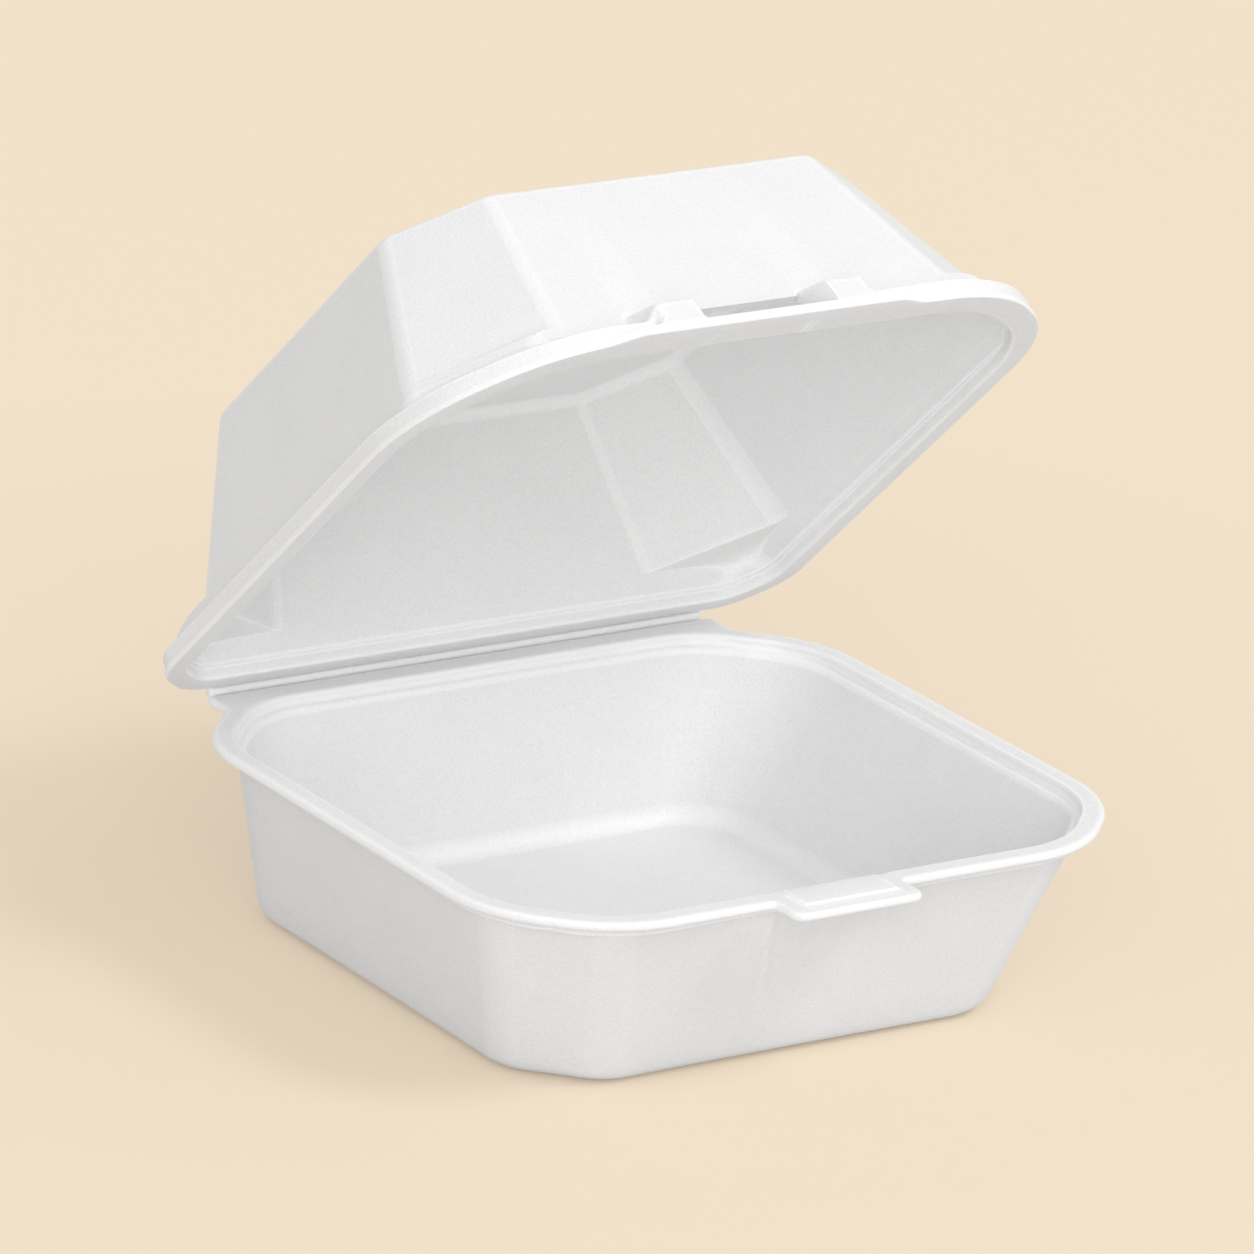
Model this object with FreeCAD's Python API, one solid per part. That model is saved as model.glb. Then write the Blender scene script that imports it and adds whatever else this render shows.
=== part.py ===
import FreeCAD, Part
import math
import os

os.makedirs("parts", exist_ok=True)
V = FreeCAD.Vector

# Moulded foam clamshell container, lid standing open.
# Millimetres. Origin at the middle of the flat underside of the tray, Z up,
# the latch side faces -Y and the hinge runs along X at the back.

# sizes taken from the picture, scaled to the usual 150 mm width
W = 150.0             # width of the tray rim
D = 143.0             # front edge of the tray rim to the hinge
H = 41.0              # tray height, table to the top of the rim
OPEN = 44.0           # how far the lid stands open from closed, degrees
SHEET = 2.1           # foam wall, measured level
Y_F = -D / 2          # front edge of the tray rim
Y_H = D / 2           # line of the hinge

# tray
RIM_T = 1.8           # pressed rim of the tray
RIM_FLAT = 4.7        # flat on top of the rim
STEP = 2.2            # step from the rim down to the ledge
LEDGE = 1.6           # ledge inside the rim
RIM_BACK = 3.0        # plain rim stops this far in front of the hinge line
BOT_W = 117.5         # underside, width
BOT_F = -53.5         # underside, front edge
BOT_B = 60.5          # underside, back edge
FLOOR = 2.4
LAND_X = 61.0         # hinge land, half length

# hinge: a rounded bar between two pressed creases
BAR_X = 59.5          # half length
BAR_R = 1.35
CREASES = 3.3         # distance between the two crease lines
FILM = 0.5            # pressed film beside each crease
FILM_TIP = 0.38       # crease line to the middle of the film's rounded edge
BACK_GAP = 1.4        # crease line to the thick edge of tray and lid
SEAL_GAP = 0.2        # play between lid and tray when shut
CREASE_Z = H + SEAL_GAP / 2 - CREASES / 2

# lid, measured shut, heights from its own rim plane
LID_Z = H + SEAL_GAP
LID_H = 46.4
LID_W = 152.0
LID_F = Y_F - 5.0     # lid rim reaches past the tray in front
LID_RIM = 4.4         # outer face of the lid rim
LIP = 1.3             # raised bead along the lower edge of that face
LID_FLAT = 4.7
LID_FLAT_F = 6.8      # wider in front, where it reaches out past the tray
BAND_Z = 5.2          # top of the band inside the rim
ROOF_W = 109.5
ROOF_F = -50.0
ROOF_B = 54.5

# latch
LATCH_X = -5.0
TAB_W = 30.0
TAB_OUT = 8.0
LOCK_W = 22.0         # raised block on the tab
LOCK_UP = 0.6
LOCK_PLAY = 0.5
BULGE = 3.0           # lid rim swells out round the slot
PLATE = 2.0           # pressed lip in front of the slot
SLOT_W = 31.0
SLOT_UP = 6.8
STRAP_W = 8.5
STRAP_Z = 7.4          # front edge of the strap
STRAP_BACK = 10.4     # where it leaves the wall


def rounded(pts, radii, z):
    """closed wire: corners of a flat outline eased with arcs"""
    n = len(pts)
    ends = []
    for i in range(n):
        p = V(pts[i][0], pts[i][1], z)
        a = V(pts[i - 1][0], pts[i - 1][1], z) - p
        b = V(pts[(i + 1) % n][0], pts[(i + 1) % n][1], z) - p
        a.normalize()
        b.normalize()
        half = a.getAngle(b) / 2
        r = radii[i]
        t = r / math.tan(half)
        mid = a + b
        mid.normalize()
        ends.append((p + a * t, p + mid * (r / math.sin(half) - r), p + b * t))
    edges = []
    for i in range(n):
        s, m, e = ends[i]
        edges.append(Part.Arc(s, m, e).toShape())
        nxt = ends[(i + 1) % n][0]
        edges.append(Part.LineSegment(e, nxt).toShape())
    return Part.Wire(edges)


def eight(w, yf, yb, front, back, z, long=1.0):
    """eight-sided outline; front and back corners are (cut, radius), the cut long times wider in X"""
    cf, rf = front
    cb, rb = back
    x = w / 2
    pts = [(-x + cf * long, yf), (x - cf * long, yf), (x, yf + cf), (x, yb - cb)]
    pts += [(x - cb * long, yb), (-x + cb * long, yb), (-x, yb - cb), (-x, yf + cf)]
    return rounded(pts, [rf, rf, rf, rb, rb, rb, rb, rf], z)


def inset(spec, i, z):
    """the same outline moved inward by i all round"""
    w, yf, yb, front, back = spec
    k = i * (2 - math.sqrt(2))
    f = (front[0] - k, front[1] - i)
    b = (back[0] - k, back[1] - i)
    return eight(w - 2 * i, yf + i, yb - i, f, b, z)


def prism(wire, h):
    return Part.Face(wire).extrude(V(0, 0, h))


def loft(wires):
    return Part.makeLoft(wires, True, True)


def box(x0, x1, y0, y1, z0, z1):
    return Part.makeBox(x1 - x0, y1 - y0, z1 - z0, V(x0, y0, z0))


def level_edges(shape, z, tol=0.01):
    found = []
    for e in shape.Edges:
        b = e.BoundBox
        if abs(b.ZMin - z) < tol and abs(b.ZMax - z) < tol:
            found.append(e)
    return found


def edges_on(shape, wire):
    """edges of a shape that lie along a given outline"""
    z = wire.BoundBox.ZMin
    found = []
    for e in level_edges(shape, z):
        mid = e.valueAt((e.FirstParameter + e.LastParameter) / 2)
        if wire.distToShape(Part.Vertex(mid))[0] < 0.01:
            found.append(e)
    return found


def upright_edges(shape, test):
    found = []
    for e in shape.Edges:
        b = e.BoundBox
        if b.ZLength > 0.5 and b.XLength < 0.01 and b.YLength < 0.01:
            if test(b.XMin, b.YMin):
                found.append(e)
    return found


def ease(shape, radius, edges):
    return shape.makeFillet(radius, edges)


def film(y, z, forward, x):
    """pressed film that ends in a round edge just short of a crease"""
    c = y - forward * FILM_TIP
    y0, y1 = sorted((c, y - forward * (BACK_GAP + 0.6)))
    strip = box(-x, x, y0, y1, z - FILM / 2, z + FILM / 2)
    tip = Part.makeCylinder(FILM / 2, 2 * x, V(-x, c, z), V(1, 0, 0))
    return strip.fuse(tip)


# tray outlines
TRAY_RIM = (W, Y_F, Y_H - RIM_BACK, (20.0, 29.0), (20.0, 27.0))
WALL_OUT = 4.2
FRONT_UP = (18.0, 19.0)
FRONT_LOW = (14.5, 19.0)
BACK_UP = (18.0, 25.0)
BACK_LOW = (9.5, 14.0)
RIB_X = 12.5          # rib on the front wall, left of the latch
RIB_R = 14.0


def within(corner):
    """corner of the inner face, a foam sheet inside the outer one"""
    return corner[0] - SHEET * 0.6, corner[1] - SHEET


def tray():
    # rim plate with the wider land that carries the hinge
    z0 = H - RIM_T
    rim = prism(inset(TRAY_RIM, 0, z0), RIM_T)
    land = box(-LAND_X, LAND_X, Y_H - 14, Y_H - BACK_GAP, z0, H)
    rim = rim.fuse(land).removeSplitter()
    corner = upright_edges(rim, lambda x, y: y > Y_H - BACK_GAP - 0.1)
    rim = ease(rim, 1.6, corner)
    notch = upright_edges(rim, lambda x, y: abs(abs(x) - LAND_X) < 0.01 and y < Y_H - 3.5)
    rim = ease(rim, 2.2, notch)

    # latch tab, part of the same plate
    x0 = LATCH_X - TAB_W / 2
    x1 = LATCH_X + TAB_W / 2
    y0 = Y_F - TAB_OUT
    corners = [(x0 + 2.5, y0), (x1 - 2.5, y0), (x1, y0 + 2.5), (x1, Y_F + 3), (x0, Y_F + 3), (x0, y0 + 2.5)]
    tab = prism(rounded(corners, [2.5, 2.5, 2.5, 0.5, 0.5, 2.5], z0), RIM_T)
    rim = rim.fuse(tab).removeSplitter()
    roots = upright_edges(rim, lambda x, y: abs(abs(x - LATCH_X) - TAB_W / 2) < 0.01 and y > Y_F - 0.1)
    rim = ease(rim, 1.2, roots)
    rim = ease(rim, 0.75, level_edges(rim, H) + level_edges(rim, z0))

    # step under the rim and the wall
    step = prism(inset(TRAY_RIM, 2.8, H - 3.8), 3.0)
    step = ease(step, 0.8, level_edges(step, H - 3.8))
    top = eight(W - 2 * WALL_OUT, Y_F + WALL_OUT, Y_H - RIM_BACK - WALL_OUT, FRONT_UP, BACK_UP, H - 2.5)
    low = eight(BOT_W, BOT_F, BOT_B, FRONT_LOW, BACK_LOW, 0)
    wall = loft([low, top])
    wall = ease(wall, 6.5, level_edges(wall, 0))

    # upright rib on the front wall beside the latch, fading out towards the foot
    slope = math.atan2((BOT_F - (Y_F + WALL_OUT)), H - 2.5)
    axis = V(0, -math.sin(slope), math.cos(slope))
    foot = V(LATCH_X - RIB_X, BOT_F, 0) + V(0, math.cos(slope), math.sin(slope)) * (RIB_R - 0.1)
    rib = Part.makeCylinder(RIB_R, H - 9, foot + axis * 6, axis)
    rib.rotate(foot, V(1, 0, 0), 0.6)
    rib = rib.common(box(-W, W, Y_F, 0, 0, H - 3))
    body = rim.fuse([step, wall, rib])

    # hollow: opening of the rim, then the tapered inside down to the floor
    mouth = prism(inset(TRAY_RIM, RIM_FLAT, H - STEP), STEP + 1)
    i = RIM_FLAT + LEDGE
    up = H - STEP
    t_in = eight(W - 2 * i, Y_F + i, Y_H - RIM_BACK - i, within(FRONT_UP), within(BACK_UP), up)
    b_in = eight(BOT_W - 2 * SHEET, BOT_F + SHEET, BOT_B - SHEET, within(FRONT_LOW), within(BACK_LOW), FLOOR)
    hollow = loft([b_in, t_in])
    hollow = ease(hollow, 4.5, level_edges(hollow, FLOOR))
    body = body.cut(mouth).cut(hollow)

    # ease the two edges inside the rim
    body = ease(body, 0.9, edges_on(body, inset(TRAY_RIM, RIM_FLAT, H)))
    body = ease(body, 1.2, edges_on(body, t_in))

    # raised block on the tab
    lx = LOCK_W / 2
    ly = Y_F - TAB_OUT / 2
    lock = box(LATCH_X - lx, LATCH_X + lx, ly, Y_F + RIM_FLAT - 0.9, H - 0.8, H + LOCK_UP)
    lock = ease(lock, 0.9, upright_edges(lock, lambda x, y: True))
    lock = ease(lock, 0.35, level_edges(lock, H + LOCK_UP))
    body = body.fuse(lock)

    body = body.fuse(film(Y_H, CREASE_Z, 1, BAR_X))
    return body.removeSplitter()


def bar():
    """rounded bar of the hinge with a film on each side, standing as shut"""
    zc = CREASE_Z + CREASES / 2
    rod = Part.makeCylinder(BAR_R, 2 * BAR_X, V(-BAR_X, Y_H, zc), V(1, 0, 0))
    ends = [e for e in rod.Edges if e.BoundBox.XLength < 0.01]
    rod = ease(rod, 0.9, ends)
    reach = CREASES / 2 - FILM_TIP
    x = BAR_X - 0.8
    web = box(-x, x, Y_H - FILM / 2, Y_H + FILM / 2, zc - reach, zc + reach)
    body = rod.fuse(web)
    for s in (-1, 1):
        tip = Part.makeCylinder(FILM / 2, 2 * x, V(-x, Y_H, zc + s * reach), V(1, 0, 0))
        body = body.fuse(tip)
    return body.removeSplitter()


# lid outlines, shut
FOOT_Z = 6.8
FOOT_IN = 5.0
FOOT_IN_F = 8.0
LOBE_Z = 9.4


def lid_wall(z, thick):
    """width, front and back of the lid's tapered wall at height z"""
    k = (z - FOOT_Z) / (LID_H - FOOT_Z)
    w0 = LID_W - 2 * FOOT_IN
    f0 = LID_F + FOOT_IN_F
    b0 = Y_H - BACK_GAP - FOOT_IN
    w = w0 + (ROOF_W - w0) * k - 2 * thick
    f = f0 + (ROOF_F - f0) * k + thick
    b = b0 + (ROOF_B - b0) * k - thick
    return w, f, b


def lid_cut(z, thick):
    """cut of the four corner facets at height z"""
    k = (z - FOOT_Z) / (LID_H - FOOT_Z)
    return 19.0 + (14.2 - 19.0) * k - thick * 0.586


def facets(z, thick, r):
    c = (lid_cut(z, thick), r)
    w, f, b = lid_wall(z, thick)
    k = (z - FOOT_Z) / (LID_H - FOOT_Z)
    return eight(w, f, b, c, c, z, 1.32 - 0.12 * k)


def lobes(z, thick, back):
    """same wall, with the back corners kept nearly square"""
    w, f, b = lid_wall(z, thick)
    return eight(w, f, b, (lid_cut(z, thick), 5.0), back, z)


LID_OUT = (LID_W, LID_F, Y_H - BACK_GAP, (24.0, 37.0), (10.0, 12.5))


def lid():
    # rim: lip below, plain face above
    lip = prism(inset(LID_OUT, 0, 0), LIP)
    lip = ease(lip, 0.45, level_edges(lip, 0) + level_edges(lip, LIP))
    face = prism(inset(LID_OUT, 0.5, 0.5), LID_RIM - 0.5)
    face = ease(face, 0.7, level_edges(face, LID_RIM))

    # swelling of the rim round the slot
    a = SLOT_W / 2 + STRAP_W + 6.5
    b = a + 7.5
    yo = LID_F - BULGE
    plan = [(LATCH_X - a, yo), (LATCH_X + a, yo), (LATCH_X + b, LID_F + 0.8), (LATCH_X + b, LID_F + 3)]
    plan += [(LATCH_X - b, LID_F + 3), (LATCH_X - b, LID_F + 0.8)]
    swell = prism(rounded(plan, [8.0, 8.0, 0.4, 0.4, 0.4, 0.4], 0), PLATE)
    swell = ease(swell, 0.5, level_edges(swell, 0) + level_edges(swell, PLATE))

    # foot of the wall, the square back lobes, then the eight-sided wall and roof
    q = eight(LID_W - 7, LID_F + 5.5, Y_H - BACK_GAP - 3.5, (21.5, 12.0), (7.0, 9.0), LID_RIM - 1.2)
    foot = loft([q, lobes(FOOT_Z, 0, (5.6, 8.5)), lobes(LOBE_Z, 0, (5.6, 8.5))])
    foot = ease(foot, 2.2, level_edges(foot, LOBE_Z))
    dome = loft([facets(2.0, 0, 4.0), facets(LID_H, 0, 2.6)])
    dome = ease(dome, 1.9, level_edges(dome, LID_H))
    body = lip.fuse([face, swell, foot, dome])

    # straps that stand over the ends of the slot
    s0 = SLOT_W / 2
    for s in (-1, 1):
        x0 = LATCH_X + s * s0
        x1 = x0 + s * STRAP_W
        pts = [(LID_F + 12.5, 1.0), (LID_F + 12.5, STRAP_BACK), (LID_F - 0.5, STRAP_Z), (yo + 0.1, 1.6), (yo + 0.1, 0.6)]
        ws = Part.makePolygon([V(min(x0, x1), y, z) for y, z in pts + pts[:1]])
        strap = Part.Face(ws).extrude(V(STRAP_W, 0, 0))
        long = []
        for e in strap.Edges:
            c = e.BoundBox
            if c.YMin < LID_F + 2.6 and c.ZMax > 1.4 and c.YLength < 7 and c.ZMin > 1.0:
                long.append(e)
        strap = ease(strap, 0.5, long)
        body = body.fuse(strap)

    # hollow: rim opening, band, lobes, eight-sided inside
    rim_in = eight(LID_W - 2 * LID_FLAT, LID_F + LID_FLAT_F, Y_H - BACK_GAP - LID_FLAT, (21.0, 31.0), (7.2, 7.8), -1)
    mouth = prism(rim_in, 1 + LID_RIM - 1.8)
    m0 = LID_RIM - 1.8
    band = eight(LID_W - 11.4, LID_F + 8.0, Y_H - BACK_GAP - 5.7, (21.0, 12.0), (7.0, 6.5), m0 - 0.01)
    pocket = loft([band, lobes(BAND_Z, SHEET, (4.2, 6.5)), lobes(LOBE_Z - SHEET, SHEET, (4.2, 6.5))])
    pocket = ease(pocket, 1.3, level_edges(pocket, LOBE_Z - SHEET))
    inside = loft([facets(m0 + 1.5, SHEET, 2.4), facets(LID_H - SHEET, SHEET, 1.6)])
    inside = ease(inside, 1.2, level_edges(inside, LID_H - SHEET))
    body = body.cut(mouth).cut(pocket).cut(inside)

    # the straps are hollow from inside
    for s in (-1, 1):
        x0 = LATCH_X + s * (s0 + 1.9)
        x1 = LATCH_X + s * (s0 + STRAP_W - 1.9)
        pts = [(LID_F + 14.5, PLATE), (LID_F + 14.5, STRAP_BACK - 1.6), (LID_F + 1.4, STRAP_Z - 2), (yo + 2.4, PLATE)]
        ws = Part.makePolygon([V(min(x0, x1), y, z) for y, z in pts + pts[:1]])
        body = body.cut(Part.Face(ws).extrude(V(abs(x1 - x0), 0, 0)))

    # slot through the foot of the front wall, and the relief for the tab's block
    slot = box(LATCH_X - s0, LATCH_X + s0, yo - 2, LID_F + 14, PLATE, PLATE + SLOT_UP)
    body = body.cut(slot)
    lx = LOCK_W / 2 + LOCK_PLAY
    deep = LOCK_UP - SEAL_GAP + 0.25
    relief = box(LATCH_X - lx, LATCH_X + lx, Y_F - TAB_OUT / 2 - LOCK_PLAY, LID_F + 8, -1, deep)
    body = body.cut(relief)

    body = body.fuse(film(Y_H, CREASE_Z + CREASES - LID_Z, 1, BAR_X))
    body = body.removeSplitter()
    body.translate(V(0, 0, LID_Z))
    return body


def pose(shape, second):
    """turn a shut piece about the creases to where it stands in the picture"""
    if second:
        shape.rotate(V(0, Y_H, CREASE_Z + CREASES), V(1, 0, 0), -OPEN / 2)
    shape.rotate(V(0, Y_H, CREASE_Z), V(1, 0, 0), -OPEN / 2)
    return shape


# shapes are written one file each
pieces = {"base_tray": tray(), "hinge_bar": pose(bar(), False), "lid": pose(lid(), True)}
for name, shape in pieces.items():
    solid = shape.Solids[0] if len(shape.Solids) == 1 else shape
    b = solid.BoundBox
    print(name, solid.ShapeType, "valid", solid.isValid(), "solids", len(shape.Solids), "faces", len(solid.Faces))
    print("  volume %.0f mm3" % solid.Volume, "box %.1f %.1f %.1f %.1f %.1f %.1f"
          % (b.XMin, b.XMax, b.YMin, b.YMax, b.ZMin, b.ZMax))
    solid.exportStep("parts/" + name + ".step")
second_crease = V(0, 0, CREASES)
turn = FreeCAD.Rotation(V(1, 0, 0), -OPEN / 2)
second_crease = turn.multVec(second_crease) + V(0, Y_H, CREASE_Z)
print("crease lines y z:", Y_H, CREASE_Z, round(second_crease.y, 4), round(second_crease.z, 4))
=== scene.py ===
import bpy
import numpy as np
from mathutils import Matrix, Vector


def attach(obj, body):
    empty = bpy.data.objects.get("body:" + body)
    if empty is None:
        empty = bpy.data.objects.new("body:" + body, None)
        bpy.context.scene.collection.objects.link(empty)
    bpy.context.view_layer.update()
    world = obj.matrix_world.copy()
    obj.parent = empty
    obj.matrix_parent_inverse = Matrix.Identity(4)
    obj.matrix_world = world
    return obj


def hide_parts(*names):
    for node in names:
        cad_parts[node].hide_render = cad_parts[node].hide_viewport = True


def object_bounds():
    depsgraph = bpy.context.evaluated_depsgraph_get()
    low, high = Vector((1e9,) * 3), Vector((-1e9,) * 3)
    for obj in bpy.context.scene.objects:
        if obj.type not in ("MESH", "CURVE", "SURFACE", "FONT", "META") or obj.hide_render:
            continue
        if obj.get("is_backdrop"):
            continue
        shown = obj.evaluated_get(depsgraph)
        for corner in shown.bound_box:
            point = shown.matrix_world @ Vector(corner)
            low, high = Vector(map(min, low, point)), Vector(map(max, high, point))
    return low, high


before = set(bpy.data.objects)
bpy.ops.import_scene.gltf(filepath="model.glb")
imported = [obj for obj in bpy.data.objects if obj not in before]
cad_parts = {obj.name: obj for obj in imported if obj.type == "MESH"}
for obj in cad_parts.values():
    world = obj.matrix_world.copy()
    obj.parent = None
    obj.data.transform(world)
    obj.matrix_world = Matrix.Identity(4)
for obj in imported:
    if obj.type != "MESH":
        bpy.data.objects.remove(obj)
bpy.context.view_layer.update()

# Camera.
# It looks at the front left corner of the open container from a little above,
# leaning a few degrees, through a long lens.
turn, rise, lean = np.radians((35.08, 19.30, 4.09))
HEIGHT, ASIDE, DISTANCE = 0.07042, 0.00734, 1.95945
FOCAL_PIXELS, PICTURE_PIXELS = 9953.79, 1254.0
away = np.array((-np.sin(turn) * np.cos(rise), -np.cos(turn) * np.cos(rise), np.sin(rise)))
side = np.array((np.cos(turn), -np.sin(turn), 0.0))
over = np.cross(away, side)
right = np.cos(lean) * side + np.sin(lean) * over
up = -np.sin(lean) * side + np.cos(lean) * over
place = np.array((0.0, 0.0, HEIGHT)) - right * ASIDE + away * DISTANCE
eye = bpy.data.cameras.new("camera")
eye.sensor_width = 36.0
eye.lens = eye.sensor_width * FOCAL_PIXELS / PICTURE_PIXELS
eye.clip_start = 0.1
eye.clip_end = 20.0
camera = bpy.data.objects.new("camera", eye)
bpy.context.scene.collection.objects.link(camera)
camera.matrix_world = Matrix((
    (right[0], up[0], away[0], place[0]),
    (right[1], up[1], away[1], place[1]),
    (right[2], up[2], away[2], place[2]),
    (0.0, 0.0, 0.0, 1.0)))
bpy.context.scene.camera = camera

# Floor.
# A wide sheet of warm beige paper that the container stands on. The camera sees the
# beige, partly lit and partly of its own even tone, which takes over away from the middle,
# with only the soft shadow on it; what it throws back on the foam is a neutral pale grey.
BEIGE = (0.905, 0.768, 0.597, 1.0)
THROWN_GREY = (0.68, 0.67, 0.66, 1.0)
NEAR, FAR, NEAR_SHARE, FAR_SHARE = 0.12, 0.36, 0.3, 0.9    # metres, and shares of the own tone
paper = bpy.data.materials.new("beige_paper")
paper.use_nodes = True
n, l = paper.node_tree.nodes, paper.node_tree.links
matt = n["Principled BSDF"]
matt.inputs["Base Color"].default_value = BEIGE
matt.inputs["Roughness"].default_value = 0.95
matt.inputs["Specular IOR Level"].default_value = 0.1
level = n.new("ShaderNodeEmission")
level.inputs["Color"].default_value = BEIGE
thrown = n.new("ShaderNodeBsdfDiffuse")
thrown.inputs["Color"].default_value = THROWN_GREY
tone, choice = n.new("ShaderNodeMixShader"), n.new("ShaderNodeMixShader")
middle = n.new("ShaderNodeVectorMath")
middle.operation = "LENGTH"
reach = n.new("ShaderNodeMapRange")
reach.inputs["From Min"].default_value = NEAR
reach.inputs["From Max"].default_value = FAR
reach.inputs["To Min"].default_value = NEAR_SHARE
reach.inputs["To Max"].default_value = FAR_SHARE
l.new(n.new("ShaderNodeTexCoord").outputs["Object"], middle.inputs[0])
l.new(middle.outputs["Value"], reach.inputs["Value"])
l.new(reach.outputs["Result"], tone.inputs["Fac"])
path = n.new("ShaderNodeLightPath")
seen = path.outputs["Is Camera Ray"]
for ray in ("Is Glossy Ray", "Is Transmission Ray"):
    either = n.new("ShaderNodeMath")
    either.operation = "MAXIMUM"
    l.new(seen, either.inputs[0])
    l.new(path.outputs[ray], either.inputs[1])
    seen = either.outputs[0]
l.new(seen, choice.inputs["Fac"])
l.new(matt.outputs[0], tone.inputs[1])
l.new(level.outputs[0], tone.inputs[2])
l.new(thrown.outputs[0], choice.inputs[1])
l.new(tone.outputs[0], choice.inputs[2])
l.new(choice.outputs[0], n["Material Output"].inputs["Surface"])
floor_mesh = bpy.data.meshes.new("floor")
floor_mesh.from_pydata([(-6, -6, 0), (6, -6, 0), (6, 6, 0), (-6, 6, 0)], [], [(0, 1, 2, 3)])
floor_mesh.materials.append(paper)
floor = bpy.data.objects.new("floor", floor_mesh)
bpy.context.scene.collection.objects.link(floor)
floor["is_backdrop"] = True

# Light.
# One large soft lamp high on the right, a weaker one low on the left front,
# and an even pale surround.
world = bpy.data.worlds.new("surround")
bpy.context.scene.world = world
world.use_nodes = True
sky = world.node_tree.nodes["Background"]
sky.inputs["Color"].default_value = (1.0, 1.0, 1.0, 1.0)
sky.inputs["Strength"].default_value = 0.7


def lamp(name, at, aim, size, watts):
    """a square soft lamp of the given size at one point, turned to face another"""
    data = bpy.data.lights.new(name, "AREA")
    data.shape = "SQUARE"
    data.size = size
    data.energy = watts
    o = bpy.data.objects.new(name, data)
    o.location = at
    o.rotation_mode = "QUATERNION"
    o.rotation_quaternion = (Vector(aim) - Vector(at)).to_track_quat("-Z", "Y")
    bpy.context.scene.collection.objects.link(o)


box_middle = (0, 0, 0.05)
lamp("key", (0.75, -0.95, 1.4), box_middle, size=0.6, watts=8.2)
lamp("fill", (-1.05, -1.55, 0.75), box_middle, size=1.2, watts=11.0)

# Tray.
# The lower half of the box, pressed with the rest from one white sheet of expanded
# polystyrene about 2 mm thick: tapered walls with soft corners, a stepped rim, a tab
# in front for the latch and a wider land behind that ends in the thin film of the hinge.
foam = bpy.data.materials.new("foam")
foam.use_nodes = True
n, l = foam.node_tree.nodes, foam.node_tree.links
shader = n["Principled BSDF"]
shader.inputs["Specular IOR Level"].default_value = 0.35
where = n.new("ShaderNodeTexCoord")
cells = n.new("ShaderNodeTexVoronoi")
cells.inputs["Scale"].default_value = 1900.0
grit = n.new("ShaderNodeTexNoise")
grit.inputs["Scale"].default_value = 2600.0
grit.inputs["Detail"].default_value = 1.0
cloud = n.new("ShaderNodeTexNoise")
cloud.inputs["Scale"].default_value = 60.0
cloud.inputs["Detail"].default_value = 3.0
for pattern in (cells, grit, cloud):
    l.new(where.outputs["Object"], pattern.inputs["Vector"])


def spread(value, low, high, to_low, to_high):
    """a node that carries one range of a value over to another"""
    o = n.new("ShaderNodeMapRange")
    ends = {"From Min": low, "From Max": high, "To Min": to_low, "To Max": to_high}
    for name, number in ends.items():
        o.inputs[name].default_value = number
    l.new(value, o.inputs["Value"])
    return o.outputs["Result"]


def added(a, b):
    """a node that adds two values"""
    o = n.new("ShaderNodeMath")
    o.operation = "ADD"
    l.new(a, o.inputs[0])
    l.new(b, o.inputs[1])
    return o.outputs[0]


# painted highlight: whiter along every sharply bent edge, convex or hollow, from the bend
# of the surface, and a little shinier there; faintly clouded and speckled elsewhere
painted_edge_highlight = n.new("ShaderNodeAttribute")
painted_edge_highlight.attribute_name = "painted_edge_highlight"
speckle = spread(grit.outputs["Fac"], 0.3, 0.7, -0.035, 0.035)
white = spread(cloud.outputs["Fac"], 0.3, 0.7, 0.875, 0.895)
# painted highlight: up to 0.08 whiter where the surface bends sharply
painted_highlight_white = spread(painted_edge_highlight.outputs["Fac"], 0.0, 1.0, 0.0, 0.08)
share = added(added(speckle, white), painted_highlight_white)
tint = n.new("ShaderNodeCombineColor")
for k in range(3):
    l.new(share, tint.inputs[k])
l.new(tint.outputs[0], shader.inputs["Base Color"])
l.new(spread(painted_edge_highlight.outputs["Fac"], 0.0, 1.0, 0.62, 0.45), shader.inputs["Roughness"])
relief = n.new("ShaderNodeBump")
relief.inputs["Strength"].default_value = 0.8
relief.inputs["Distance"].default_value = 0.00006
l.new(added(cells.outputs["Distance"], grit.outputs["Fac"]), relief.inputs["Height"])
l.new(relief.outputs["Normal"], shader.inputs["Normal"])

# every outline and row below is in millimetres
MILLIMETRE = 0.001      # in metres
LATCH = -5.0            # the latch sits this far left of the middle
SHARPEST = 38           # degrees, past which an edge between two faces looks sharp
THIN = 0.7              # share of its size at which the flat of a floor or roof has its last row
LESS_CUT, LESS_ROOT = 0.586, 0.414    # what a corner's cut and its root lose for each 1 inward
CORNER, FRONT_RUN, DIAGONAL, SIDE = 15, 6, 3, 16    # points in each stretch of an outline
EASE_POINTS, MOST_EASE = 6, 0.45      # points of an eased edge, and its largest share of a wall
SLIGHT, SHARP = 0.045, 0.25           # bends per millimetre where the painted edge highlight starts and is full
even = np.linspace(0, 1, CORNER)
# shares of the run behind and of the back corners' arcs, close together where the film and
# the land's ends stand
back_run = np.concatenate([[0.0097, 0.0117], np.linspace(0.05, 0.95, 18), [0.9883, 0.9903]])
land_end = np.concatenate([np.linspace(0, 0.12, 5), [0.145, 0.17], np.linspace(0.2, 0.34, 6),
                           np.linspace(0.42, 1, 7)])


def inner(count):
    """shares that cut a run evenly, both ends left out"""
    return np.arange(1, count + 1) / (count + 1)


def run(a, b, share):
    """points on the straight line from a to b: a + (b - a) share"""
    return a + (b - a) * np.asarray(share)[:, None]


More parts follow.
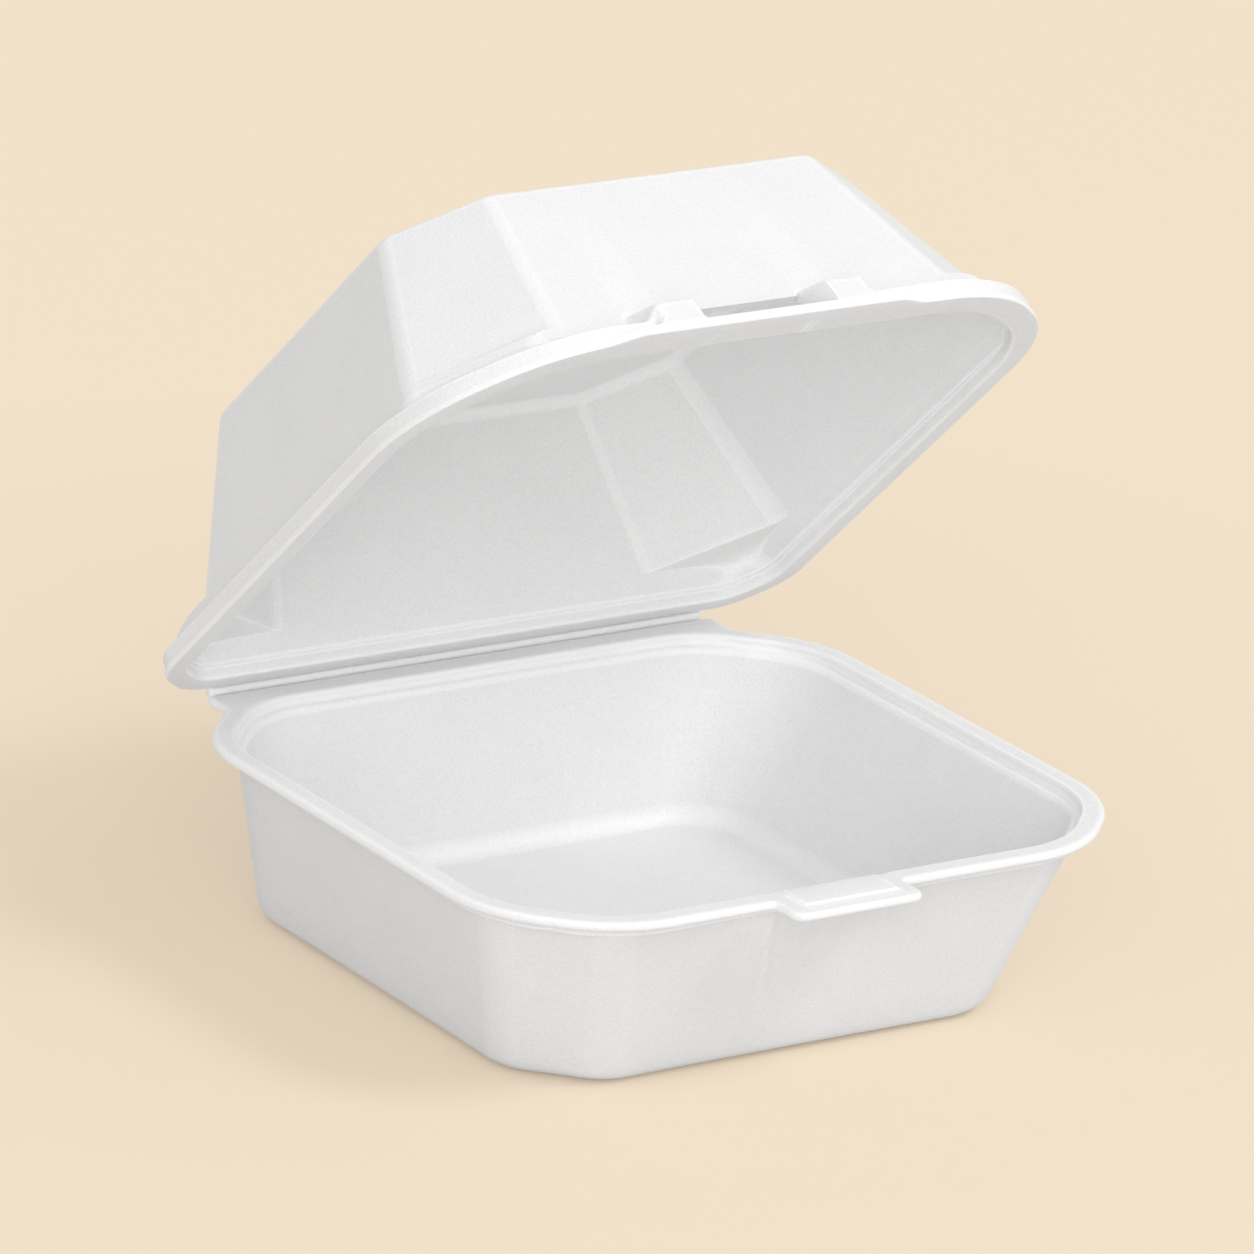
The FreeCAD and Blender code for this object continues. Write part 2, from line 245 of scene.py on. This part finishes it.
def bend(before, at, after, radius, share):
    """Points on the arc that eases a corner. With a and c the points where the arc meets the
    two sides and w the sine of half the corner's angle, a point at share u is
    ((1-u)^2 a + 2w u(1-u) corner + u^2 c) / ((1-u)^2 + 2w u(1-u) + u^2)."""
    before, at, after = (np.array(v, float) for v in (before, at, after))
    a = (before - at) / np.linalg.norm(before - at)
    c = (after - at) / np.linalg.norm(after - at)
    half = np.arccos(a @ c) / 2
    reach, w, u = radius / np.tan(half), np.sin(half), np.asarray(share, float)[:, None]
    sides = (1 - u) ** 2 * (at + a * reach) + u ** 2 * (at + c * reach)
    return (sides + 2 * w * u * (1 - u) * at) / ((1 - u) ** 2 + 2 * w * u * (1 - u) + u ** 2)


def outline(width, front, back, near, far, z, lines, long=1.0, latch=None, hinge=None):
    """Level eight-sided outline walked once round from the left front corner, counterclockwise.
    near and far are (cut, radius) of the front and back corners, a cut being long times wider
    along X. Each corner is an arc and each side a straight run, and every outline has the same
    count, with points on the front side at the given lines."""
    x = width / 2
    cut, r = near
    cut_far, r_far = far
    p = np.array([(-x + cut * long, front), (x - cut * long, front),
                  (x, front + cut), (x, back - cut_far),
                  (x - cut_far * long, back), (-x + cut_far * long, back),
                  (-x, back - cut_far), (-x, front + cut)])
    radius = (r, r, r, r_far, r_far, r_far, r_far, r)
    share = (even, even, even, even, land_end, 1 - land_end[::-1], even, even)
    arcs = [bend(p[i - 1], p[i], p[(i + 1) % 8], radius[i], share[i]) for i in range(8)]
    if latch is None:
        latch = np.column_stack([lines, np.full(len(lines), front)])
    if hinge is None:
        hinge = np.concatenate([arcs[4], run(arcs[4][-1], arcs[5][0], back_run), arcs[5]])
    stretches = [arcs[0], run(arcs[0][-1], latch[0], inner(FRONT_RUN)), latch,
                 run(latch[-1], arcs[1][0], inner(FRONT_RUN)), arcs[1],
                 run(arcs[1][-1], arcs[2][0], inner(DIAGONAL)), arcs[2],
                 run(arcs[2][-1], arcs[3][0], inner(SIDE)), arcs[3],
                 run(arcs[3][-1], hinge[0], inner(DIAGONAL)), hinge,
                 run(hinge[-1], arcs[6][0], inner(DIAGONAL)), arcs[6],
                 run(arcs[6][-1], arcs[7][0], inner(SIDE)), arcs[7],
                 run(arcs[7][-1], arcs[0][0], inner(DIAGONAL))]
    flat = np.concatenate(stretches)
    return np.column_stack([flat, np.full(len(flat), z)])


def shrunk(ring, share):
    """a ring drawn in evenly towards its own middle"""
    middle = (ring.min(axis=0) + ring.max(axis=0)) / 2
    return middle + (ring - middle) * share


def rows_of(keys):
    """Rows of a wall through its key outlines, each given with an ease. The wall is straight
    between keys; round a key it follows the parabola that leaves the straight wall one ease
    before it and joins the next one ease after. Also gives the last row made at each key."""
    rows, last = [], []
    for k, (ring, ease) in enumerate(keys):
        if ease == 0 or k in (0, len(keys) - 1):
            rows.append(ring)
        else:
            a, b = keys[k - 1][0] - ring, keys[k + 1][0] - ring
            share_a = ease / (np.linalg.norm(a, axis=1, keepdims=True) + 1e-9)
            share_b = ease / (np.linalg.norm(b, axis=1, keepdims=True) + 1e-9)
            a = ring + a * np.minimum(share_a, MOST_EASE)
            b = ring + b * np.minimum(share_b, MOST_EASE)
            rows += [(1 - u) ** 2 * a + 2 * u * (1 - u) * ring + u ** 2 * b
                     for u in np.linspace(0, 1, EASE_POINTS)]
        last.append(len(rows) - 1)
    return np.array(rows), last


def along(corners, count):
    """count points spaced evenly by length along the broken line through the corners"""
    corners = np.array(corners, float)
    pieces = np.linalg.norm(np.diff(corners, axis=0), axis=1)
    length = np.concatenate([[0], np.cumsum(pieces)])
    at = np.linspace(0, length[-1], count)
    return np.column_stack([np.interp(at, length, corners[:, axis]) for axis in (0, 1)])


def draw_over(rows, top, weight, path):
    """From row top on, move the columns sideways (Y) and up (Z) towards a path given as
    (y, z), one point for each row, by a weight from 0 to 1 for each column."""
    part = rows[top:top + len(path)]
    part[..., 1:] += (path[:, None, :] - part[..., 1:]) * weight[None, :, None]


def step_up(x, low, high, soft):
    """0 outside low to high and 1 inside, changing over a width of soft at both ends"""
    return np.clip((x - low) / soft + 0.5, 0, 1) * np.clip((high - x) / soft + 0.5, 0, 1)


def turning(rows):
    """How sharply the surface bends at each grid point, from 0 to 1, which sets the share of the
    painted edge highlight: the angle between the normals at the next points before and after
    it, in rows and in columns, over the distance between them, at least 0.6. It is 0 up to a
    radius of 22 and 1 from a radius of 4."""
    ahead, behind = np.roll(rows, -1, 0), np.roll(rows, 1, 0)
    ahead[-1], behind[0] = rows[-1], rows[0]
    normal = np.cross(np.roll(rows, -1, 1) - np.roll(rows, 1, 1), ahead - behind)
    normal /= np.linalg.norm(normal, axis=-1, keepdims=True) + 1e-9
    found = np.zeros(rows.shape[:2])
    for axis, inside in ((0, slice(1, -1)), (1, slice(None))):
        a, b = np.roll(normal, -1, axis), np.roll(normal, 1, axis)
        apart = np.linalg.norm(np.roll(rows, -1, axis) - np.roll(rows, 1, axis), axis=-1)
        bent = np.arccos(np.clip((a * b).sum(-1), -1, 1)) / np.maximum(apart, 0.6)
        found[inside] = np.maximum(found[inside], bent[inside])
    return np.clip((found - SLIGHT) / (SHARP - SLIGHT), 0, 1)


def skin(name, rows, flip=False, gone=None, extra=()):
    """One closed skin from a grid of points: four neighbours in rows and columns are a face,
    and the first and last row close on a middle point each. gone marks faces left out, extra
    holds faces that close the gap, and flip turns the grid's faces round where its rows run
    the other way. Points come in millimetres and go out in metres."""
    r, c = rows.shape[:2]
    ends = [shrunk(rows[0], 0)[:1], shrunk(rows[-1], 0)[:1]]
    points = np.concatenate([rows.reshape(-1, 3)] + ends) * MILLIMETRE
    i, j = np.meshgrid(np.arange(r - 1), np.arange(c), indexing="ij")
    k = (j + 1) % c
    quads = np.stack([i * c + j, i * c + k, (i + 1) * c + k, (i + 1) * c + j], -1)
    quads = quads.reshape(-1, 4) if gone is None else quads[~gone]
    j = np.arange(c)
    k = (j + 1) % c
    first = np.column_stack([k, j, np.full(c, r * c)])
    final = np.column_stack([(r - 1) * c + j, (r - 1) * c + k, np.full(c, r * c + 1)])
    faces = quads.tolist() + first.tolist() + final.tolist()
    if flip:
        faces = [f[::-1] for f in faces]
    mesh = bpy.data.meshes.new(name)
    mesh.from_pydata(points.tolist(), [], faces + [list(f) for f in extra])
    # the share of painted edge highlight at each point, from how sharply the skin bends; 0 at the
    # two middle points
    mesh.attributes.new("painted_edge_highlight", "FLOAT", "POINT").data.foreach_set(
        "value", np.concatenate([turning(rows).ravel(), [0, 0]]))
    mesh.validate()
    mesh.materials.append(foam)
    mesh.shade_smooth()
    mesh.set_sharp_from_angle(angle=np.radians(SHARPEST))
    o = bpy.data.objects.new(name, mesh)
    bpy.context.scene.collection.objects.link(o)
    return o


# lines across the front that the tab's sides, the raised block on it and the rib need
tab_lines = np.concatenate([np.linspace(-21.2, -19.5, 5), [-19.15, -18.95],
                            np.linspace(-18.75, -17.6, 6)])
block_lines = np.array([-17.0, -16.6, -16.2, -16.08, -15.92, -15.75, -15.4, -14.8,
                        -14.0, -13.0, -12.0, -11.0, -10.0, -9.0])
half = np.concatenate([tab_lines, block_lines])
tray_lines = np.concatenate([half, [LATCH], 2 * LATCH - half[::-1]])

RIM_WIDTH, RIM_FRONT, RIM_BACK = 150, -71.5, 68.5
RIM_UNDER, RIM_TOP, RIM_ROUND = 39.2, 41, 0.75    # heights, and the radius of its edge
STEP_UNDER, STEP_IN = 37.2, 2.8                   # the step between wall and rim
TAB_LEFT, TAB_TIP = -20, -79.5
LAND_HALF, LAND_ROOT, LAND_BACK, LAND_RUN = 61, 62.5, 70.1, 41.5
ALONG = 9                                         # any length, where only a direction is needed


def tray_ring(i, near, far, z):
    """the rim's plain outline moved inward by i"""
    return outline(RIM_WIDTH - 2 * i, RIM_FRONT + i, RIM_BACK - i, near, far, z, tray_lines)


def rim_ring(i, z):
    """Outline of the rim plate moved inward by i: the tab stands out in front between two
    eased sides, and the land reaches back to the hinge with a small notch at each end."""
    x, y, tip = TAB_LEFT + i, RIM_FRONT + i, TAB_TIP + i
    root = bend((x - ALONG, y), (x, y), (x, tip), 1.2 + i, np.linspace(0, 1, 5))
    end = bend((x, y), (x, tip), (x + ALONG, tip), 2.5 - i, np.linspace(0, 1, 6))
    half = np.concatenate([root, run(root[-1], end[0], inner(2)), end])
    mid = np.concatenate([block_lines, [LATCH], 2 * LATCH - block_lines[::-1]])
    other = (half * (-1, 1) + (2 * LATCH, 0))[::-1]
    latch = np.concatenate([half, np.column_stack([mid, np.full(len(mid), tip)]), other])
    x, y, back = LAND_HALF - i, LAND_ROOT - LESS_ROOT * i, LAND_BACK - i
    notch = bend((x + ALONG, y - ALONG), (x, y), (x, back), 2.2 + i, np.linspace(0, 1, 5))
    corner = bend((x, y), (x, back), (x - ALONG, back), 1.6 - i, np.linspace(0, 1, 6))
    half = np.concatenate([notch, run(notch[-1], corner[0], inner(2)), corner])
    half = np.concatenate([half, run(half[-1], np.array([LAND_RUN, back]), inner(7))])
    other = (half * (-1, 1))[::-1]
    hinge = np.concatenate([half, run(half[-1], other[0], inner(len(back_run))), other])
    near, far = (20 - i * LESS_CUT, 29 - i), (20 - i * LESS_CUT, 27 - i)
    return outline(RIM_WIDTH - 2 * i, RIM_FRONT + i, RIM_BACK - i, near, far, z, tray_lines,
                   latch=latch, hinge=hinge)


def under_rim(z):
    """outline of the step between the wall and the rim plate"""
    return tray_ring(STEP_IN, (18.36, 26.2), (18.36, 24.2), z)


foot = outline(117.5, front=-53.5, back=60.5, near=(14.5, 12), far=(9.5, 14), z=0,
               lines=tray_lines)
head = tray_ring(4.6, near=(17.9, 12), far=(17.9, 24.8), z=STEP_UNDER)
mouth = tray_ring(4.7, near=(17.25, 24.3), far=(17.25, 22.3), z=RIM_TOP)
ledge = tray_ring(6.3, near=(16.74, 16.9), far=(16.74, 22.9), z=38.8)
floor_ring = outline(113.3, front=-51.4, back=58.4, near=(13.24, 16.9), far=(8.24, 11.9),
                     z=2.4, lines=tray_lines)

# underside and wall up to the step under the rim
keys = [(shrunk(foot, THIN), 0)]
FOOT = len(keys)
keys += [(foot, 5.2)] + [(foot + (head - foot) * k / 8, 0) for k in range(2, 8)]
HEAD = len(keys)
keys += [(head, 0.7), (under_rim(STEP_UNDER), 0.9), (under_rim(RIM_UNDER), 0.4)]
# the rim's edge in two quarter rounds
RIM = len(keys)
keys += [(rim_ring(RIM_ROUND * (1 - np.sin(t)), RIM_UNDER + RIM_ROUND * (1 - np.cos(t))), 0)
         for t in np.linspace(0, np.pi / 2, 9)]
widest = keys[-1][0]
keys += [(rim_ring(RIM_ROUND * (1 - np.cos(t)), RIM_TOP + RIM_ROUND * (np.sin(t) - 1)), 0)
         for t in np.linspace(0, np.pi / 2, 5)]
top_edge = keys[-1][0]
# the rim's flat top, with the block raised 0.4 on the tab: each row at a share of the way
# from the edge to the mouth and with its rise there; away from the block the rows keep
# further out, which leaves the mouth room for its ease
on_block = step_up(top_edge[:, 0], -16, 6, 0.5) * (top_edge[:, 1] < -60)
BLOCK = ((0.258, 0), (0.27, 0.2), (0.28, 0.34), (0.3, 0.4),
         (0.895, 0.4), (0.915, 0.34), (0.925, 0.2), (0.94, 0))
for share, rise in BLOCK:
    inward = share * (0.8 + 0.2 * on_block)[:, None]
    ring = top_edge * (1 - inward) + mouth * inward
    keys.append((ring + np.outer(on_block * rise, (0, 0, 1)), 0))
# down inside, over the ledge to the floor
keys += [(mouth, 1.1), (mouth - (0, 0, 2.2), 0.9), (ledge, 1.6), (floor_ring, 4.2),
         (shrunk(floor_ring, THIN), 0)]
rows, last = rows_of(keys)
# upright rib on the front wall left of the latch: a long rise from the left and a short fall
# on the right that narrows towards the foot; it leans, and fades at both ends
RIB_X, RIB_Z, RIB_LEAN, RIB_RISE, RIB_STEEP = -19.1, 38, 0.28, 6, 0.26
wall = rows[last[FOOT] + 1:last[HEAD] - EASE_POINTS + 2]
off = wall[..., 0] - RIB_X - RIB_LEAN * (RIB_Z - wall[..., 2])
wide = 0.6 + 0.11 * wall[..., 2]
fall = np.clip(off / wide, 0, 1)
rib = np.where(off < 0, np.exp(-(off / RIB_RISE) ** 2), 1 - fall ** 2 * (3 - 2 * fall))
ends = np.clip(wall[..., 2] / 5, 0, 1) * np.clip((STEP_UNDER - wall[..., 2]) / 4, 0, 1)
wall[..., 1] -= RIB_STEEP * wide * rib * ends * (wall[..., 1] < -50)
# film of the hinge behind the land, ending in a round edge on the crease
behind = (np.abs(widest[:, 0]) < 59.45) & (widest[:, 1] > 69)
draw_over(rows, last[RIM], behind, np.array([
    (69.35, 39.2), (71.5, 39.2), (71.68, 39.27), (71.75, 39.45), (71.68, 39.63), (71.5, 39.7),
    (70.5, 39.7), (70.18, 39.78), (70.1, 39.95)]))
tray = skin("tray", rows)
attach(tray, "tray")
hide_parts("base_tray")

# Hinge.
# A rounded bar left between two creases that are pressed nearly through the sheet, so
# the lid folds over in two easy bends. Thin film joins it to tray and lid on each side.
CREASE_LOW, CREASE_HIGH = np.array((71.5, 39.45)), np.array((72.7362, 42.5097))
BAR_R, FILM_R, FILM_REACH = 1.35, 0.25, 1.65     # the film is twice FILM_R thick
BAR_FLAT, BAR_ROUND, BAR_RUN = 58.6, 0.9, 41     # where its ends begin, their radius, rows between


def bar_profile():
    """Cross-section of the bar: a circle, and towards each crease a film whose round tip is
    centred on the crease, at its reach from the middle."""
    start = np.arcsin(FILM_R / BAR_R)
    t = np.linspace(start, np.pi - start, 25)
    arc = BAR_R * np.column_stack([np.cos(t), np.sin(t)])
    t = np.linspace(np.pi / 2, 3 * np.pi / 2, 9)
    tip = FILM_R * np.column_stack([np.cos(t), np.sin(t)]) - (FILM_REACH, 0)
    half = np.concatenate([arc, tip])
    return np.concatenate([half, -half])


across = (CREASE_HIGH - CREASE_LOW) / np.linalg.norm(CREASE_HIGH - CREASE_LOW)
profile = bar_profile() @ np.array([across, (-across[1], across[0])])
t = np.linspace(0, np.pi / 2, 7)
end_x, end_r = BAR_FLAT + BAR_ROUND * np.cos(t), BAR_R - BAR_ROUND * (1 - np.sin(t))
at = np.concatenate([-end_x, np.linspace(-58, 58, BAR_RUN), end_x[::-1]])
size = np.concatenate([end_r, np.full(BAR_RUN, BAR_R), end_r[::-1]]) / BAR_R
rows = np.empty((len(at), len(profile), 3))
rows[..., 0] = at[:, None]
rows[..., 1:] = (CREASE_LOW + CREASE_HIGH) / 2 + profile[None] * size[:, None, None]
hinge = skin("hinge", rows, flip=True)
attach(hinge, "bar")
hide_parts("hinge_bar")

# Lid.
# The upper half of the same moulding: an eight-sided tapered dome over square back
# corners, a lipped rim that swells round the latch slot, and two hollow straps that
# stand over the slot's ends. It is worked out shut, then turned back about its crease.
strap_lines = np.array([-35.5, -34.2, -32.6, -31.2, -30.6, -30.3, -29.9, -29.5, -29.1,
                        -28.7, -28.3, -28.0, -27.6, -27.3, -27.0, -26.75, -25.5, -24.0,
                        -22.75, -22.5, -22.3, -22.05, -21.3, -20.8, -20.5, -20.3])
relief_lines = np.array([-19.6, -18.3, -17.3, -17.0, -16.6, -16.2, -15.8, -15.5, -14.0,
                         -11.0, -8.0])
half = np.concatenate([strap_lines, relief_lines])
lid_lines = np.concatenate([half, [LATCH], 2 * LATCH - half[::-1]])

WALL_FOOT, ROOF, CEILING = 6.8, 46.4, 44.3     # heights, shut
SHEET = 2.1                                    # thickness of the wall and roof
SOFT, SOFT_IN = 5.5, 6                         # radii between the facets, outside and inside
LOBE, LOBE_IN = (5.6, 8.5), (4.2, 6.5)         # cut and radius of the back corners
LIP_WIDTH, LIP_FRONT, LIP_BACK = 152, -76.5, 70.1


def lid_wall(z, thick):
    """Width, front, back, corner cut and share of the height at height z, moved inward by
    thick: each runs evenly from the wall's foot to the roof."""
    k = (z - WALL_FOOT) / (ROOF - WALL_FOOT)
    return (142 - 32.5 * k - 2 * thick, -68.5 + 18.5 * k + thick, 65.1 - 10.6 * k - thick,
            19 - 4.8 * k - LESS_CUT * thick, k)


def facets(z, thick, r):
    """the wall with its four flat corner facets, wider along X than along Y"""
    width, front, back, cut, k = lid_wall(z, thick)
    return outline(width, front, back, (cut, r), (cut, r), z, lid_lines, long=1.32 - 0.12 * k)


def lobes(z, thick, back_corner):
    """the wall with its back corners kept nearly square"""
    width, front, back, cut, _ = lid_wall(z, thick)
    return outline(width, front, back, (cut, 5), back_corner, z, lid_lines)


def shoulder(z, top, thick, r, back):
    """Between facets and lobes: the share of the facets is 1 - (1 - v^3)^(1/3), where v runs
    from 0 to 1 over the last 2.2 below the top."""
    v = np.clip((z - top) / 2.2 + 1, 0, 1)
    share = 1 - (1 - v ** 3) ** (1 / 3)
    return lobes(z, thick, back) * (1 - share) + facets(z, thick, r) * share


def lip_ring(i, z):
    """outline of the lid's rim moved inward by i"""
    near, far = (24 - i * LESS_CUT, 37 - i), (10 - i * LESS_CUT, 12.5 - i)
    return outline(LIP_WIDTH - 2 * i, LIP_FRONT + i, LIP_BACK - i, near, far, z, lid_lines)


def swollen(ring, up, out):
    """The rim's lip is thicker by up for 30 to either side of the latch and, where out is
    true, stands out by 3 there. Both fall back by half a millimetre in each one beyond. The
    edge is the further out of the swelling a and the plain outline b, softly joined:
    (a + b + sqrt((a - b)^2 + 0.15)) / 2."""
    x, y = ring[:, 0], ring[:, 1]
    beyond = np.abs(x - LATCH) - 30.5
    slope = 0.507 * (beyond + np.sqrt(beyond ** 2 + 1)) / 2
    grown = 3 - slope - 3 * np.maximum(beyond - 7.5, 0) ** 2
    a, b = grown - LIP_FRONT, -y
    new = (a + b + np.sqrt((a - b) ** 2 + 0.15)) / 2
    ring = ring.copy()
    front = y < 0
    ring[:, 1] = np.where(front & out, -new, y)
    ring[:, 2] += up * np.clip(grown / 3, 0, 1) * front
    return ring


roof, ceiling = facets(ROOF, 0, 4.5), facets(CEILING, SHEET, 5)
lobe_foot = lobes(WALL_FOOT, 0, LOBE)
ground = outline(145, front=-71, back=66.6, near=(21.5, 12), far=(7, 9), z=3.2, lines=lid_lines)
rim_mouth = outline(142.6, front=-69.7, back=65.4, near=(21, 31), far=(7.2, 7.8), z=0,
                    lines=lid_lines)
band = outline(140.6, front=-68.5, back=64.4, near=(21, 12), far=(7, 6.5), z=2.6,
               lines=lid_lines)
# outside, from the roof down the facets and the shoulder over the lobes to the rim
FACET_FOOT, FACET_FOOT_IN, SLOT_HEIGHT = 9.4, 7.3, 8.8
SHOULDER = (9.38, 9.3, 9.1, SLOT_HEIGHT, 8.4, 8.0, 7.6, 7.2)
keys = [(shrunk(roof, THIN), 0), (roof, 1.9)]
WALL_TOP = len(keys)
keys += [(facets(10.8, 0, SOFT), 0), (facets(FACET_FOOT, 0, SOFT), 0.5)]
SLOT_TOP = len(keys) + SHOULDER.index(SLOT_HEIGHT)
keys += [(shoulder(z, FACET_FOOT, 0, SOFT, LOBE), 0) for z in SHOULDER]
keys += [(lobe_foot, 0.8), (lobe_foot + (ground - lobe_foot) * 2 / 3, 0.8),
         (lip_ring(0.5, 4.4), 0.7)]
# the lip's top and edge
FACE = len(keys)
keys += [(swollen(lip_ring(0.5, 1.3), 0.7, out=False), 0.3)]
LIP = len(keys)
keys += [(swollen(lip_ring(0, 1.3), 0.7, out=True), 0.45),
         (swollen(lip_ring(0, 0), 0, out=True), 0.45), (lip_ring(0.55, 0), 0)]
# its underside and the band inside it
RELIEF = len(keys)
keys += [(lip_ring(0.65, 0), 0)]
MOUTH = len(keys)
keys += [(rim_mouth, 0.7)]
SLOT_IN = len(keys)
keys += [(rim_mouth + (0, 0, 2.0), 0), (rim_mouth + (0, 0, 2.6), 0.7), (band, 0.9)]
# up inside, over the lobes and facets to the ceiling
keys += [(lobes(5.2, SHEET, LOBE_IN), 0)]
keys += [(shoulder(z, FACET_FOOT_IN, SHEET, SOFT_IN, LOBE_IN), 0)
         for z in (5.6, 6.1, 6.6, 6.9, 7.1, 7.22, 7.28)]
keys += [(facets(FACET_FOOT_IN, SHEET, SOFT_IN), 0.4)]
SLOT_TOP_IN = len(keys)
keys += [(facets(SLOT_HEIGHT, SHEET, SOFT_IN), 0), (ceiling, 2.4), (shrunk(ceiling, THIN), 0)]
rows, last = rows_of(keys)
column = rows[last[LIP]][:, 0]
front = rows[last[LIP]][:, 1] < -75

# straps over the slot's ends, solid outside and hollow from within
SLOT_HALF, STRAP_NEAR, STRAP_FAR, STRAP_FALL = 15.5, 15.4, 26.4, 3.2
start, turn_out, end = last[WALL_TOP], last[SLOT_TOP], last[LIP]
from_latch = np.abs(column - LATCH)
strap = np.clip((STRAP_FAR - from_latch) / STRAP_FALL, 0, 1)
strap = strap ** 2 * (3 - 2 * strap) * (from_latch > STRAP_NEAR) * front
root = (-66.9, 9.73)
draw_over(rows, start, strap, along([(-66.63, 10.8), root], turn_out - start + 1))
draw_over(rows, turn_out + 1, strap, along([
    root, (-76.32, 7.56), (-76.9, 7.28), (-77.27, 6.75), (-79.3, 1.9), (-79.5, 1.5)],
    end - turn_out + 1)[1:])
hollow = step_up(from_latch, 17.4, 22.1, 0.2) * front
draw_over(rows, last[SLOT_IN], hollow, along([
    (-69.7, 2.0), (-77.1, 2.0), (-75.1, 5.4), (-65.9, 7.8), (-65.47, 8.8)],
    last[SLOT_TOP_IN] - last[SLOT_IN] + 1))
# relief 0.35 deep under the lip for the block on the tab
part = rows[last[RELIEF]:last[MOUTH] + 1]
relieved = 0.35 * step_up(column, -16.5, 6.5, 1.2) * front
part[..., 2] = np.maximum(part[..., 2], relieved[None])
# film of the hinge behind, ending in a round edge on the crease
back = (np.abs(column) < 59.5) & (rows[last[LIP]][:, 1] > 60)
draw_over(rows, last[FACE] - EASE_POINTS + 1, back, np.array([
    (69.6, 1.95), (69.62, 1.85), (69.75, 1.8), (71.5, 1.8), (71.68, 1.73), (71.75, 1.55),
    (71.68, 1.37), (71.5, 1.3), (70.3, 1.3), (70.14, 1.26), (70.1, 1.15), (70.1, 0.85)]))

# the slot goes through the wall: its faces come out and its four sides are closed
count = rows.shape[1]
first_line = CORNER + FRONT_RUN
c0, c1 = (first_line + int(np.flatnonzero(lid_lines == LATCH + side)[0])
          for side in (-SLOT_HALF, SLOT_HALF))
outer, inside = (turn_out, last[FACE] + 1), (last[SLOT_IN], last[SLOT_TOP_IN])
gone = np.zeros((len(rows) - 1, count), bool)
closing = []
c = np.arange(c0, c1)
sill, lintel = (outer[1], inside[0]), (inside[1], outer[0])
for (low, high), (from_row, to_row) in ((outer, sill), (inside, lintel)):
    gone[low:high, c0:c1] = True
    a, b = from_row * count + c, to_row * count + c
    closing += np.stack([a, a + 1, b + 1, b], -1).tolist()
around = np.concatenate([np.arange(low, high + 1) for low, high in (outer, inside)]) * count
closing += [(around + c0).tolist(), (around[::-1] + c1).tolist()]

# shut to open: turned back about the upper crease, which stands at its own place
OPEN, SHUT_CREASE = np.radians(44), (71.5, 1.55)
dy, dz = rows[..., 1] - SHUT_CREASE[0], rows[..., 2] - SHUT_CREASE[1]
rows[..., 1] = CREASE_HIGH[0] + dy * np.cos(OPEN) + dz * np.sin(OPEN)
rows[..., 2] = CREASE_HIGH[1] - dy * np.sin(OPEN) + dz * np.cos(OPEN)
lid = skin("lid", rows, flip=True, gone=gone, extra=closing)
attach(lid, "lid")
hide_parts("lid")

view = bpy.context.scene.view_settings
view.view_transform = "Standard"
low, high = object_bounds()
